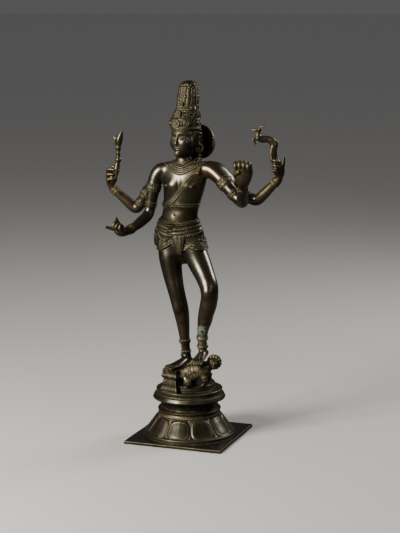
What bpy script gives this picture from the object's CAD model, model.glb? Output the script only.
import math
import bpy
import numpy as np
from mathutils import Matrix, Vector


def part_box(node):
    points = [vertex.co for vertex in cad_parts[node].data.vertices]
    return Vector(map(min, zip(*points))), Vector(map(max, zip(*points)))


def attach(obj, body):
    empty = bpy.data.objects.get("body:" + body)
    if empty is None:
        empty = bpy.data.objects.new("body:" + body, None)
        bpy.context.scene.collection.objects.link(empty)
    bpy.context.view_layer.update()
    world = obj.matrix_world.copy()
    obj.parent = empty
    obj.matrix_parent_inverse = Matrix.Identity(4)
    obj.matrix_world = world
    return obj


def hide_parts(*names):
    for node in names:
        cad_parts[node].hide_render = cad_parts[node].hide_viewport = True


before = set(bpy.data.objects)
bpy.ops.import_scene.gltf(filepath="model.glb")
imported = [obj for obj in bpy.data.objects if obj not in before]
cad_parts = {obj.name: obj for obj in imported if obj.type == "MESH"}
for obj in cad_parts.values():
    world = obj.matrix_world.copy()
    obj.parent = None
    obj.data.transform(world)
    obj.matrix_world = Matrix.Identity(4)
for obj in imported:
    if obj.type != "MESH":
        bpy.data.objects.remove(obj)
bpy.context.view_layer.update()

import openvdb as vdb
from mathutils import Vector

mm = 0.001
pedestalLow, pedestalHigh = (np.array(corner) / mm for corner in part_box("lotus_pedestal"))
pedestalTop = pedestalHigh[2]

# Clay is worked in millimetres, the figure in its pose's own heights: 0 is the top of the seat's drum.
seat = {"rimRadius": 55.5, "rimHeight": 7.2, "drumRadius": 50, "drumHeight": 8.2,
        "stepRadius": 39, "stepHeight": 9, "bulge": 0.42}
poseFoot = pedestalTop + seat["rimHeight"] + seat["drumHeight"]


# Small helpers for numbers

def lerp(a, b, share):
    return a + (b - a) * share


def ease(value):
    value = np.clip(value, 0, 1)
    return value * value * (3 - 2 * value)


def bump(offset, half):
    return np.sqrt(np.clip(1 - (offset / half) ** 2, 0, 1))  # round section of a cord


def melt(a, b, soft):
    gap = np.clip(soft - np.abs(a - b), 0, None) / soft
    return np.minimum(a, b) - gap * gap * soft * 0.25  # union with a fillet


def pare(a, b, soft):
    return -melt(-a, b, soft)  # a with b cut away


def turned(x, y, turn):
    return x * math.cos(turn) + y * math.sin(turn), -x * math.sin(turn) + y * math.cos(turn)


def dot(a, b):
    return a[0] * b[0] + a[1] * b[1] + a[2] * b[2]


def ellipsoid(across, deep, rise, half):
    near = np.sqrt((across / half[0]) ** 2 + (deep / half[1]) ** 2 + (rise / half[2]) ** 2) + 1e-5
    flat = np.sqrt((across / half[0] ** 2) ** 2 + (deep / half[1] ** 2) ** 2 + (rise / half[2] ** 2) ** 2)
    return near * (near - 1) / (flat + 1e-6)


def oval(across, deep, wide, far):
    radius = np.sqrt(across ** 2 + deep ** 2) + 1e-5
    return radius, np.sqrt((across / wide) ** 2 + (deep / far) ** 2) + 1e-5


def beading(angle, count, power=0.5):
    return np.abs(np.cos(angle * count)) ** power  # a row of beads


def cell(angle, count, shift=0):
    return (angle * count / (2 * math.pi) + shift) % 1 - 0.5  # place within one of many equal cells


def resample(rows, steps):
    rows = np.array(rows, float)
    padded = np.vstack([2 * rows[0] - rows[1], rows, 2 * rows[-1] - rows[-2]])
    fine, places = [], []
    for i in range(len(rows) - 1):
        a, b, c, d = padded[i:i + 4]
        for share in np.arange(steps) / steps:
            curve = (2 * b + (c - a) * share + (2 * a - 5 * b + 4 * c - d) * share ** 2
                     + (3 * b - a - 3 * c + d) * share ** 3) / 2
            fine.append(curve)
            places.append(i + share)
    fine.append(rows[-1])
    places.append(len(rows) - 1)
    return np.array(fine), np.array(places)


# Clay: a list of shapes, each of which changes the field of distances inside its own box

def shapeIn(low, high, work, reach):
    return {"low": np.array(low, float) - reach, "high": np.array(high, float) + reach, "work": work}


mostRelief = 3  # no cord or band stands higher on a limb


def limb(stations, across=(1, 0, 0), blend=2.0, steps=4, tip=0.6, relief=None, cut=False):
    rows = [list(row) + [row[3]] if len(row) == 4 else list(row) for row in stations]
    fine, places = resample(rows, steps)
    middle, size = fine[:, :3], np.maximum(fine[:, 3:], 0.3)
    pull = middle[-1] - middle[-2]
    middle[-1] -= pull / np.linalg.norm(pull) * min(size[-1].min() * (1 - tip), np.linalg.norm(pull) * 0.8)
    start, step = middle[:-1], np.diff(middle, axis=0)
    span = np.linalg.norm(step, axis=1)
    along = step / span[:, None]
    side = np.array(across, float)
    sides = []
    for line in along:
        side = side - line * side.dot(line)
        side = side / np.linalg.norm(side)
        sides.append(side)
    sides = np.array(sides)
    fronts = np.cross(along, sides)
    arc = np.concatenate([[0], np.cumsum(span)])
    hubs, radii = (middle[:-1] + middle[1:]) / 2, span / 2 + size.max()
    isRound = np.allclose(size[:, 0], size[:, 1])

    def work(x, y, z, d, spot, reach):
        near = np.linalg.norm(hubs - spot, axis=1) < radii + reach + mostRelief + 3
        if not near.any():
            return d
        best = np.full_like(x, 1e3)
        where, angle = np.zeros_like(x), np.zeros_like(x)
        for i in np.nonzero(near)[0]:
            way = x - start[i, 0], y - start[i, 1], z - start[i, 2]
            share = np.clip(dot(way, step[i]) / span[i] ** 2, 0, 1)
            way = [value - share * full for value, full in zip(way, step[i])]
            length = np.sqrt(dot(way, way)) + 1e-5
            if isRound and relief is None:
                best = np.minimum(best, length - lerp(size[i, 0], size[i + 1, 0], share))
                continue
            pu, pv = dot(way, sides[i]), dot(way, fronts[i])
            wide, deep = lerp(size[i, 0], size[i + 1, 0], share), lerp(size[i, 1], size[i + 1, 1], share)
            rest = np.clip(length ** 2 - pu ** 2 - pv ** 2, 0, None) / np.minimum(wide, deep) ** 2
            stretch = np.sqrt((pu / wide) ** 2 + (pv / deep) ** 2 + rest) + 1e-5
            off = length * (1 - 1 / stretch)
            closer = off < best
            best = np.where(closer, off, best)
            if relief is not None:
                where = np.where(closer, arc[i] + share * span[i], where)
                angle = np.where(closer, np.arctan2(pv, pu), angle)
        if relief is not None:
            best = best - relief(where, angle)
        return pare(d, best, blend) if cut else melt(d, best, blend)

    shape = shapeIn((middle - size.max()).min(0), (middle + size.max()).max(0), work, mostRelief + 5)
    shape["arcAt"] = lambda place: np.interp(place, places, arc)
    return shape


def egg(centre, half, turn=0.0, blend=1.5, cut=False):
    half = np.array(half, float)

    def work(x, y, z, d, spot, reach):
        across, deep = turned(x - centre[0], y - centre[1], -turn)
        off = ellipsoid(across, deep, z - centre[2], half)
        return pare(d, off, blend) if cut else melt(d, off, blend)

    widest = half.max()
    return shapeIn(np.array(centre) - widest, np.array(centre) + widest, work, blend + 3)


def eggs(blend, *rows):
    return [egg(centre, half, blend=blend) for centre, half in rows]


def ringBand(arcMiddle, width, lift, twist=0, beads=0):
    def relief(arc, angle):
        offset = arc - arcMiddle
        body = bump(offset, width / 2)
        if beads:
            body = body * (0.35 + 0.65 * beading(angle, beads / 2, 0.7))
        if twist:
            body = body * (0.8 + 0.2 * np.cos(twist * angle + offset * 3))
        return lift * body
    return relief


def cuff(arcMiddle, width, lift, studs):
    def relief(arc, angle):
        offset = arc - arcMiddle
        inside = ease((width / 2 - np.abs(offset)) / 0.8)
        edge = bump(np.abs(offset) - width / 2 + 1.1, 1.1)
        around = cell(angle, studs) * 56 / studs
        ring = np.sqrt(around ** 2 + offset ** 2)
        stud = np.maximum(bump(ring, 1.5), 0.8 * bump(ring - 2.7, 0.9))
        chain = 0.7 * bump(np.abs(around) - 28 / studs, 0.9) * (np.abs(offset) < width / 2 - 2)
        return lift * inside * (0.4 + 0.6 * np.maximum.reduce([edge, stud, chain]))
    return relief


def together(*reliefs):
    return lambda arc, angle: np.maximum.reduce([relief(arc, angle) for relief in reliefs])


def snail(u, v, size):
    ring = np.sqrt(u * u + v * v) / size
    spiral = 0.5 + 0.5 * np.cos(ring * 10 - np.arctan2(v, u))
    return spiral * ease((1.05 - ring) / 0.2) + 0.25 * bump(ring, 1)


def rosette(centre, facing, radius, petals=8, thick=1.6, tall=1.0, blend=0.4):
    nx, ny = math.sin(facing), -math.cos(facing)

    def work(x, y, z, d, spot, reach):
        out = (x - centre[0]) * nx + (y - centre[1]) * ny
        side, up = (x - centre[0]) * -ny + (y - centre[1]) * nx, (z - centre[2]) / tall
        ring = np.sqrt(side ** 2 + up ** 2) / radius
        leaf = beading(np.arctan2(up, side), petals / 2, 0.6)
        face = 0.4 + 0.35 * bump(ring - 0.87, 0.13) + 0.6 * bump(ring, 0.3) + 0.35 * bump(ring - 0.56, 0.22) * leaf
        return melt(d, np.maximum(np.abs(out) - thick * face, (ring - 1) * radius * min(1, tall)), blend)

    widest = radius * max(1, tall)
    return shapeIn(np.array(centre) - widest, np.array(centre) + widest, work, 2)


# The pose

bodyTurn, headTurn = math.radians(5), math.radians(16)

trunk = [
    [190, -12, 2, 12, 8], [200, -12, 2, 23, 13], [206, -12, 1.5, 32, 18.5], [213, -12, 1.5, 35, 20.5],
    [225, -13.5, 2, 36.5, 22.5], [237, -15, 1, 35.5, 21.5], [248, -16, 0, 32.5, 19.5],
    [258, -15.5, -0.5, 29.5, 18], [267, -14, -0.5, 28, 17.2], [277, -12.5, 0, 28.5, 17.5],
    [294, -9.5, 0, 31, 18.5], [308, -8, 0.5, 33.5, 19], [319, -8, 1, 36, 18.5], [330, -8, 2, 37.5, 16.5],
    [337, -8, 2.5, 33.5, 14], [342, -8, 2.5, 22, 12], [347, -8, 2, 11.8, 10.8], [353, -7.5, 1.5, 10, 10],
    [362, -7, 1, 9.8, 10]]
trunkFine = resample(trunk, 6)[0]
trunkSlope = np.abs(np.gradient(trunkFine[:, 3], trunkFine[:, 0]))


def trunkAt(z):
    return (np.interp(z, trunkFine[:, 0], trunkFine[:, k]) for k in (1, 2, 3, 4))


def trunkFrame(x, y, z):
    cx, cy, wide, deep = trunkAt(z)
    across, behind = turned(x - cx, y - cy, -bodyTurn)
    angle = np.degrees(np.arctan2(across, -behind))  # 0 in front, 90 on its left
    return angle, *oval(across, behind, wide, deep)


def onTrunk(angle, z, lift=0.0):
    cx, cy, wide, deep = trunkAt(z)
    rise, way = lift + fleshRise(np.array(angle, float), np.array(z, float)), math.radians(angle)
    x, y = turned((wide + rise) * math.sin(way), -(deep + rise) * math.cos(way), bodyTurn)
    return np.array([cx + x, cy + y, z])


def patch(angle, z, centre, reachAngle, height, reachHeight):
    off = (angle - centre + 540) % 360 - 180
    return np.exp(-(off / reachAngle) ** 2 - ((z - height) / reachHeight) ** 2)


flesh = (  # lift, then angle, height and reaches of each swelling or hollow
    (4.4, 35, 23, 309, 9.5), (4.4, -35, 23, 309, 9.5), (0.6, 0, 42, 260, 8), (-1.6, 180, 13, 290, 34),
    (7, 150, 26, 222, 14), (7, -150, 26, 222, 14), (-1.2, 0, 8, 305, 16),
    (1.6, 138, 22, 318, 14), (1.6, -138, 22, 318, 14), (-0.4, 0, 75, 273, 4.5))


def fleshRise(angle, z):
    return sum(lift * patch(angle, z, *spot) for lift, *spot in flesh)


def torso(low, high):
    def work(x, y, z, d, spot, reach):
        angle, radius, stretch = trunkFrame(x, y, z)
        slope = np.interp(z, trunkFine[:, 0], trunkSlope)
        off = (radius * (1 - 1 / stretch) - fleshRise(angle, z)) / np.sqrt(1 + slope ** 2)
        return melt(d, np.maximum(off, np.maximum(z - high, low - z)), 4)
    return shapeIn([-60, -32, low - 2], [40, 36, high + 2], work, 8)


rightLeg = [
    [-31, 1, 213, 18.2], [-29, -3, 197, 17], [-24.5, -5, 173, 14.7], [-18.5, -7, 150, 12.8],
    [-12.5, -3, 120, 12], [-9.5, -1, 98, 9.9], [-7.5, 0, 75, 7.7], [-6, 1, 58, 6.9], [-4.5, 1, 44, 7.4]]
leftLeg = [
    [7, 1, 215, 18.4], [16, -10, 203, 17.8], [25.5, -19, 191, 16.6], [35, -27, 178, 14.8],
    [43.5, -34.5, 164, 13.8], [45, -35, 150, 12.8], [41.5, -32, 134, 12.6], [35.5, -28, 116, 11],
    [31.5, -25, 99, 9], [28.5, -21, 82, 7.2], [27.5, -17, 66, 7.4]]


def anklet(arcMiddle, bells):
    def relief(arc, angle):
        offset = arc - arcMiddle
        ring = 1.9 * bump(offset, 2.0) * (0.88 + 0.12 * np.cos(16 * angle))
        return np.maximum(ring, 1.6 * bump(offset - 2.8, 1.9) * beading(angle, bells / 2, 0.7))
    return relief


def legs():
    plain = [limb(leg) for leg in (rightLeg, leftLeg)]
    rightArc, leftArc = plain[0]["arcAt"], plain[1]["arcAt"]
    rightRings = together(anklet(rightArc(6.16), 12), ringBand(rightArc(7.2), 3.2, 1.4, beads=18))
    leftRings = together(anklet(leftArc(8.87), 12), ringBand(leftArc(9.75), 3.2, 1.4, beads=18))
    return [limb(rightLeg, relief=rightRings, blend=5, steps=9), limb(leftLeg, relief=leftRings, blend=5, steps=9),
            *eggs(5, ([-14.5, -13.5, 124], [6.5, 4, 8]), ([45.5, -46, 155], [7, 4.6, 8])),
            *eggs(6, ([-15, 5.5, 104], [6.5, 6, 16]), ([38, -21.5, 120], [6.5, 6, 17])),
            *eggs(2, ([-11.5, -2.5, 50], [2, 3, 2.6]), ([35, -19, 70], [2, 3, 2.6]))]


def foot(heel, toe, inner):
    heel, toe = np.array(heel, float), np.array(toe, float)
    line = (toe - heel) / 60
    across = [-line[1], line[0], 0]

    def put(along, side, rise, *sizes):
        return [heel[0] + line[0] * along - line[1] * side, heel[1] + line[1] * along + line[0] * side,
                heel[2] + line[2] * along + rise, *sizes]

    sole = [put(-2, 0, 4.6, 4.6, 4.4), put(4, 0, 5, 6.2, 5.2), put(12, 0, 5.6, 7, 7), put(24, 0.4, 4.6, 8, 5.8),
            put(36, 0.8, 3.6, 9.2, 4.2), put(43.5, 0.8, 2.7, 9.2, 2.8)]
    pieces = [limb(sole, across=across, blend=4)]
    for n in range(-2, 3):
        thick = 2.9 if n == -2 else 2.1
        reach = 56.5 - 1.9 * (n + 2)
        side = 0.8 - inner * (n * 3.9 + (0.7 if n > -2 else 0))
        rows = [put(37, side * 0.9, 3.4, thick), put(46, side, 3.6, thick * 0.9),
                put(reach - 3, side * 1.04, 2.7, thick * 0.88), put(reach, side * 1.05, 2.1, thick * 0.95)]
        nail = put(reach + 0.8, side * 1.05, 2.2 + thick * 0.62)
        pieces += [limb(rows, blend=0.8, tip=1),
                   egg(nail, [thick * 0.55, thick * 0.6, thick * 0.4], blend=0.35)]
    return pieces


rightArm = [
    [-36, 2, 331, 8.5], [-46, 2, 328, 11.6], [-53.5, -0.5, 315, 10.8], [-58, -3, 290, 9.2],
    [-61, -4, 272, 8.2], [-63.5, -8, 261.5, 8.4], [-69.5, -21, 253, 8.2], [-75.5, -36, 246, 6.9],
    [-80, -47, 242.5, 5.6]]
rightRear = [
    [-36, 8, 329, 8], [-48, 8, 325, 10.6], [-63, 11, 305, 9.4], [-78, 14, 284, 8.6],
    [-91, 15, 268.5, 8.2], [-103, 13, 277, 8], [-116, 9, 289, 6.6], [-127, 6, 299, 5.4]]
leftArm = [
    [19, 2, 334, 9], [34, 2, 332, 12], [51, -2, 320.5, 11.4], [68, -8, 304.5, 9.8],
    [82, -12, 292, 8.8], [89.5, -18, 289.5, 8.8], [94, -31, 298, 8.4], [100, -47, 309.5, 6.9],
    [104, -60, 319, 5.8]]
leftRear = [
    [20, 9, 334, 9], [39, 10, 333, 11], [53, 12, 321, 10.4], [65, 14, 309.5, 9.6],
    [82, 16, 296, 8.8], [99, 17, 288.5, 8.4], [112, 14, 298, 8], [126, 10, 311.5, 6.7],
    [138, 6, 323, 5.5]]


def arms():
    pieces = []
    for stations, armlet, ring in ((rightArm, 2.5, 3.5), (rightRear, 2.6, 3.3),
                                   (leftArm, 2.4, 3.3), (leftRear, 3.4, 4.1)):
        arcAt = limb(stations)["arcAt"]
        wrist = arcAt(len(stations) - 1.5)
        relief = together(
            cuff(arcAt(armlet), 12, 1.6, 7), ringBand(arcAt(ring), 3, 1.5, twist=12),
            ringBand(arcAt(ring) + 3.4, 2.2, 1.1, beads=16), ringBand(wrist - 2.6, 2.6, 1.4, beads=14),
            ringBand(wrist + 0.3, 2.6, 1.6, twist=10), ringBand(wrist + 3.2, 2.6, 1.4, beads=14))
        pieces.append(limb(stations, relief=relief, blend=5, steps=8))
    return pieces + eggs(4, ([-65.5, -2, 266], [4, 5.5, 5]), ([88.5, -9.5, 287.5], [5, 4.5, 4.5]),
                         ([98, 21, 286], [5.5, 4, 4.5]), ([-92, 19, 265.5], [5.5, 4, 4.5]))


def finger(*stations):
    tipRow = stations[-1]
    return [limb(stations, blend=1.1, tip=0.7, steps=3), egg(tipRow[:3], [tipRow[3] * 0.9] * 3, blend=0.8)]


def hand(across, palm, mount, *fingers):
    return [limb(palm, across=across), mount, *[finger(*rows) for rows in fingers]]


def pointingHand():
    return hand(
        (0.9, -0.4, 0), [[-79, -45, 242.5, 5.8, 5.4], [-82, -51, 241.6, 8.2, 6.2], [-85.5, -58, 241.4, 9.4, 6.6],
                         [-88, -64, 243.6, 8, 5]],
        egg([-85.5, -61, 248], [5, 5.4, 6], blend=2),
        [[-89, -62, 245.5, 3.4], [-96, -69, 248, 2.7], [-103, -75.5, 251, 1.9]],
        [[-87, -64, 246, 3.2], [-92, -71, 251.5, 2.8], [-90.5, -69, 257.5, 2.4], [-87, -63, 256, 2]],
        [[-84, -66, 245, 3], [-87, -73, 250, 2.6], [-85.5, -71, 255.5, 2.2], [-83, -65.5, 254, 1.9]],
        [[-81, -64.5, 244.5, 2.8], [-82.5, -71, 249, 2.3], [-81.5, -69.5, 253.6, 2], [-80, -65, 252, 1.7]],
        [[-86, -52, 246, 3.6], [-90.5, -57, 254, 2.8], [-92.5, -61, 263, 1.9]])


def closedHand():
    pieces = [limb([[104, -60, 318, 6.4, 5.8], [106, -66, 327, 11, 8.4], [107.6, -69.5, 338, 13.8, 9],
                    [108.2, -70.5, 347, 13, 6.6]], blend=3),
              egg([108.4, -74, 346], [12, 5.6, 6.5], blend=2)]
    for n in range(4):
        x, top = 98.8 + 6.3 * n, 357 - abs(n - 1.4) * 1.2
        pieces.append(finger([x, -70, top - 7, 3.6], [x, -76.4, top - 3.4, 3.6], [x + 0.3, -80, top - 6, 3.2],
                             [x + 0.4, -80, top - 9.6, 2.7]))
    pieces.append(finger([99.6, -68, 329, 4.4], [97.6, -75.4, 335.5, 3.7], [104, -80.4, 340.4, 3]))
    return pieces


def axeHand():
    return hand(
        (0.5, 0.86, 0), [[-126.5, 6, 298.5, 5.6, 5], [-128.5, 4.5, 307, 6.9, 5.7], [-128.5, 3, 316, 7.1, 5.7],
                         [-127.8, 1, 323.5, 6.2, 4.6]],
        egg([-123.5, -0.5, 315], [5.6, 6, 9], blend=2.5),
        [[-130, -1, 320.5, 3.2], [-127, -7.4, 328, 2.8], [-117.5, -8.4, 328, 2.1]],
        [[-128, 3, 322, 3.2], [-124, 1.6, 331.5, 2.7], [-116, 0.6, 329.5, 2.1]],
        [[-130, -1, 314.5, 3.1], [-127.5, -8.6, 320.5, 2.7], [-119.5, -9.4, 321, 2]],
        [[-129.5, -0.5, 308, 3], [-127, -8.2, 313, 2.6], [-120, -8.6, 314, 2]],
        [[-125.5, 3, 306, 3.6], [-119.5, 0, 311, 3], [-116.5, -2.5, 317.5, 2.2]])


def axe():
    shaft = [
        [-116, -4, 317, 1.8], [-115, -4, 328, 4.6], [-113, -4, 340, 3.3], [-112.3, -4, 343, 4.2],
        [-112.3, -4, 346, 3.1], [-112, -4, 358, 3.2], [-112, -4, 361.4, 4.1], [-111.4, -4, 365, 4],
        [-110.4, -4, 373, 5.4], [-108, -4, 381, 3.8], [-105.5, -4, 388, 1.3]]
    arcAt = limb(shaft)["arcAt"]
    rings = together(ringBand(arcAt(3), 2.6, 0.8, beads=10), ringBand(arcAt(6), 2.4, 0.7, beads=10),
                     ringBand(arcAt(1), 2, 0.6), ringBand(arcAt(4.6), 1.8, 0.6))
    return [
        limb(shaft, relief=rings, blend=0.8),
        limb([[-111, -4, 373, 2.4, 4.4], [-115, -5, 372.5, 1.8, 5.4], [-118.4, -5.5, 372, 0.9, 7.4]],
             across=(0, 1, 0), blend=1, tip=0.2),
    ]


def antelopeHand():
    return hand(
        (0.6, -0.8, 0), [[137, 6.5, 322, 5.7, 5], [140, 5, 331, 7.6, 5.8], [141, 3.5, 340, 7.6, 5.4],
                         [140.4, 1.5, 345, 6.4, 4]],
        egg([136, -1, 337], [5.6, 6, 9], blend=2.5),
        [[139.5, -2, 342, 3.1], [136, -7, 350, 2.7], [129, -5, 350, 2]],
        [[138.5, 3, 344, 3.1], [134, 4.8, 351, 2.6], [128.5, 3, 350, 2]],
        [[141, -1, 336.5, 3.1], [138.5, -9.6, 342.6, 2.7], [131.5, -8.6, 343.4, 2]],
        [[140, 0, 329.5, 3], [137.5, -8.4, 335.5, 2.6], [131.5, -7.6, 336.4, 2]],
        [[143.6, 2, 338, 3.2], [145.8, 0.5, 347, 2.7], [146.8, 0, 355.4, 2]])


def antelope():
    across = (0, 1, 0)
    pieces = [
        limb([[132.5, 0, 345, 3, 3.4], [131, 0, 354, 3.6, 3.8], [130.8, 0, 363, 4.4, 4.8],
              [131.4, -0.5, 371.6, 4.6, 5.6], [128.5, -1, 378, 4.6, 5.4], [122.5, -2, 380.6, 4.3, 5],
              [115, -4, 380.6, 4.4, 5.2], [110, -6, 383.6, 4, 4.6], [109.7, -7, 390, 2.7, 3],
              [111, -7.6, 394, 2.6, 2.8]], across=across, blend=1.5, steps=7),
        limb([[113, -7.5, 394.8, 2.5, 2.1], [108, -8.5, 394.6, 2.6, 2.3], [101.8, -10, 394, 1.5, 1.4]],
             across=across, blend=1),
        limb([[133, 0, 379, 1.8], [136.5, 0, 375.5, 1.4], [136, 0, 370, 1]], blend=0.8),
        limb([[129.5, -4.2, 352, 1.9], [128.6, -4.2, 361, 1.8], [130, -3.6, 369, 2.4]], blend=1.5),
        limb([[134.5, 3.4, 350, 1.9], [133.2, 3.6, 361, 1.8], [132, 3, 369, 2.4]], blend=1.5),
    ]
    for side in (-2.4, 2.4):
        foreleg = [[109, side - 6, 380.5, 2], [102.8, side - 8, 381, 1.6], [106, side - 8, 373.5, 1.2]]
        ear = [[111, side * 0.6 - 8, 395, 1.3], [115, side - 8, 399, 1.2], [119.5, side * 1.2 - 8, 399.5, 0.9]]
        pieces += [limb(foreleg, blend=0.8), limb(ear, blend=0.5),
                   egg([107.8, side * 0.8 - 8.6, 395.8], [0.9, 0.7, 0.7], blend=0.2)]
    return pieces


# Head: across, forward and up from its middle

headMiddle = [-5.5, -1, 377]


def onHead(across, forward, rise, *sizes):
    x, y = turned(across, -forward, headTurn)
    return [headMiddle[0] + x, headMiddle[1] + y, headMiddle[2] + rise, *sizes]


def headFrame(x, y, z):
    dx, dy = x - headMiddle[0], y - headMiddle[1]
    across = dx * math.cos(headTurn) - dy * math.sin(headTurn)
    forward = -dx * math.sin(headTurn) - dy * math.cos(headTurn)
    return across, forward, z - headMiddle[2]


def headStack(rows, relief=None, blend=1.0, steps=6):
    fine = resample(rows, steps)[0]
    slope = np.abs(np.gradient(fine[:, 2], fine[:, 0] + np.arange(len(fine)) * 1e-6))

    def work(x, y, z, d, spot, reach):
        across, forward, rise = headFrame(x, y, z)
        back, wide, front, behind = (np.interp(rise, fine[:, 0], fine[:, k]) for k in (1, 2, 3, 4))
        deepSide = forward + back
        deep = np.where(deepSide > 0, front, behind)
        radius, stretch = oval(across, deepSide, wide, deep)
        off = radius * (1 - 1 / stretch)
        if relief is not None:
            off = off - relief(np.arctan2(across, deepSide), rise)
        off = off / np.sqrt(1 + np.interp(rise, fine[:, 0], np.minimum(slope, 2)) ** 2)
        over = np.maximum(rise - fine[-1, 0], fine[0, 0] - rise)
        return melt(d, np.maximum(off, over), blend)

    low, high = onHead(-30, -34, fine[0, 0]), onHead(30, 34, fine[-1, 0])
    low, high = np.minimum(low, high), np.maximum(low, high)
    return shapeIn(low - [10, 10, 0], high + [10, 10, 0], work, 6)


def headEgg(across, forward, rise, half, turn=0.0, blend=1.5, cut=False):
    return egg(onHead(across, forward, rise), half, turn - headTurn, blend, cut)


def headLimb(*stations, blend=0.8, **options):
    return limb([onHead(*row) for row in stations], blend=blend, **options)


eye = {"middle": (7.5, 16.5, 2.7), "half": (4.9, 3.5, 2.7), "slant": 0.36, "lids": (
    (0.4, (-4.8, -0.4, 0, 0.5), (-2.8, 1.3, 0.1, 0.65), (0, 2, 0.15, 0.7), (3, 1.5, 0.1, 0.65), (5.4, 0.2, 0, 0.5)),
    (0.8, (-4.8, -0.4, 0, 0.5), (-2.4, -1.6, 0, 0.6), (0.4, -2.1, 0, 0.65), (3.2, -1.5, 0, 0.6),
     (5.4, 0.1, 0, 0.45)))}  # each lid: its blend, then along, up, lift and thickness


def onEye(s, along, rise, lift, *sizes):
    (across, forward, up), (wide, deep, tall) = eye["middle"], eye["half"]
    depth = deep * math.sqrt(max(0, 1 - (along / wide) ** 2 - (rise / tall) ** 2)) + lift
    cos, sin = math.cos(eye["slant"]), math.sin(eye["slant"])
    return [s * (across + along * cos + depth * sin), forward - along * sin + depth * cos, up + rise, *sizes]


def mirrored(rows):
    return [[-row[0], *row[1:]] for row in reversed(rows[1:])] + rows  # rows run outwards from the middle


def face():
    skull = [
        [-26, 0, 3.5, 14, 4], [-24.5, 0, 7.4, 17, 7], [-21, 0, 11.2, 18.8, 10], [-15, 0, 15, 20, 14],
        [-6, 0, 18, 20.6, 18], [4, 0, 19.3, 20.6, 21], [13, 0, 19.4, 20.8, 21.5], [22, 0, 18, 18.6, 20]]
    neck = [[-8, 2.2, 336, 13, 11], [-8, 2.2, 343, 14.4, 11.9], [-8, 2, 346.5, 12.2, 11.2],
            [-7.6, 1.6, 352, 10.4, 10.4], [-7, 1, 362, 9.8, 10]]
    mouth = (  # upper lip, lower lip and the line between them, each with its blend
        (0.7, False, [0, 21.5, -11.3, 1.0], [1.4, 21.7, -10.9, 1.15], [3.6, 20.8, -11.4, 1.0], [6, 19, -12.3, 0.5]),
        (0.8, False, [0, 20.9, -13.9, 1.6], [2.4, 20.5, -13.8, 1.4], [4, 19.8, -13.3, 1], [5.6, 19, -12.7, 0.5]),
        (0.3, True, [0, 22.9, -12.5, 0.4], [2.2, 22.3, -12.3, 0.4], [4.4, 20.8, -12.4, 0.35], [6.4, 19, -12.3, 0.3]))
    pieces = [
        limb(neck, blend=3),
        headStack(skull, blend=3),
        headEgg(0, 18.4, -20.4, [5, 3.6, 4], blend=5),
        headLimb([0, 19.6, 9, 1.5], [0, 21.6, 2, 1.8], [0, 23.4, -4, 2.3], [0, 23.8, -5.4, 2.2], blend=2),
        headEgg(0, 21.4, -7, [2, 2, 1.1], blend=1.2),
        *[headLimb(*mirrored(rows), blend=blend, tip=1, cut=cut) for blend, cut, *rows in mouth],
        headLimb([0, 22.6, -8.6, 0.5], [0, 22.4, -10, 0.6], blend=0.8, tip=1, cut=True),
    ]
    for s in (-1, 1):
        pieces += [
            headEgg(s * 9.2, 14, -5.8, [6.6, 5, 7.6], blend=6),
            headEgg(s * 7.7, 22, 3.8, [5.6, 3.4, 3.6], -s * 0.3, blend=2.6, cut=True),
            headEgg(s * eye["middle"][0], *eye["middle"][1:], eye["half"], -s * eye["slant"], blend=0.5),
            *[headLimb(*[onEye(s, *row) for row in lid], blend=blend, steps=7) for blend, *lid in eye["lids"]],
            headLimb([s * 2.2, 20.9, 8.2, 0.5], [s * 5.6, 20.5, 9.9, 0.8], [s * 10.2, 18.2, 10.3, 0.7],
                     [s * 14.8, 13.8, 8, 0.4], blend=1.4, steps=7),
            headEgg(s * 2.7, 21.7, -5.6, [1.7, 2, 1.6], blend=1.1),
            headEgg(s * 1.5, 23.3, -7.9, [0.7, 1.0, 0.8], blend=0.5, cut=True),
            headEgg(s * 7, 20.2, -12.2, [0.9, 1.1, 0.9], blend=1.4, cut=True),
            headEgg(s * 15.8, 1.6, 1, [3.4, 9, 12], blend=5),
            headLimb([s * 18.8, -3.4, -6, 1.3], [s * 19.8, -3, 2, 1.4], [s * 20.4, -5.6, 8.8, 1.5],
                     [s * 21, -10.6, 8, 1.4], [s * 21, -12, 1, 1.3], [s * 20.4, -9, -6, 1.3],
                     [s * 20.2, -7.6, -10.4, 1.6], blend=0.7),
            headEgg(s * 18.6, -7, 1, [1.6, 4, 7], blend=1.4),
            headLimb([s * 20.2, -6.4, 4.4, 0.8], [s * 20.4, -8.8, 2, 0.9], [s * 20.2, -7.6, -2.6, 0.8], blend=0.5),
            headLimb([s * 19.4, -6, -4, 1.5, 2.4], [s * 20.4, -7.2, -9.4, 1.5, 2.2], blend=1),
            earring(s),
        ]
    return pieces


def earring(s):
    hoop = {"radius": 4.8, "thick": 1.7, "beads": 9}
    centre = onHead(s * 20.6, -7.5, -13)
    tilt = headTurn + s * 0.55

    def work(x, y, z, d, spot, reach):
        out, along = turned(x - centre[0], y - centre[1], -tilt)
        rise = z - centre[2]
        ring = np.sqrt(along ** 2 + rise ** 2) + 1e-5
        thick = hoop["thick"] * (0.86 + 0.14 * beading(np.arctan2(rise, along), hoop["beads"], 1))
        off = np.sqrt((ring - hoop["radius"]) ** 2 + out ** 2) - thick
        boss = np.sqrt(along ** 2 + (rise + 0.3) ** 2 + (out * 1.5) ** 2) - 2.1
        return melt(melt(d, off, 0.5), boss, 0.6)

    return shapeIn(np.array(centre) - 7, np.array(centre) + 7, work, 3)


crownSize = {"plaques": 10, "curls": 20, "curlFoot": 32.3, "curlTall": 4.4, "strands": 14, "strandFoot": 51.2,
             "rings": (63.5, 76.5), "capFoot": 78, "leaves": 8}


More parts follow.
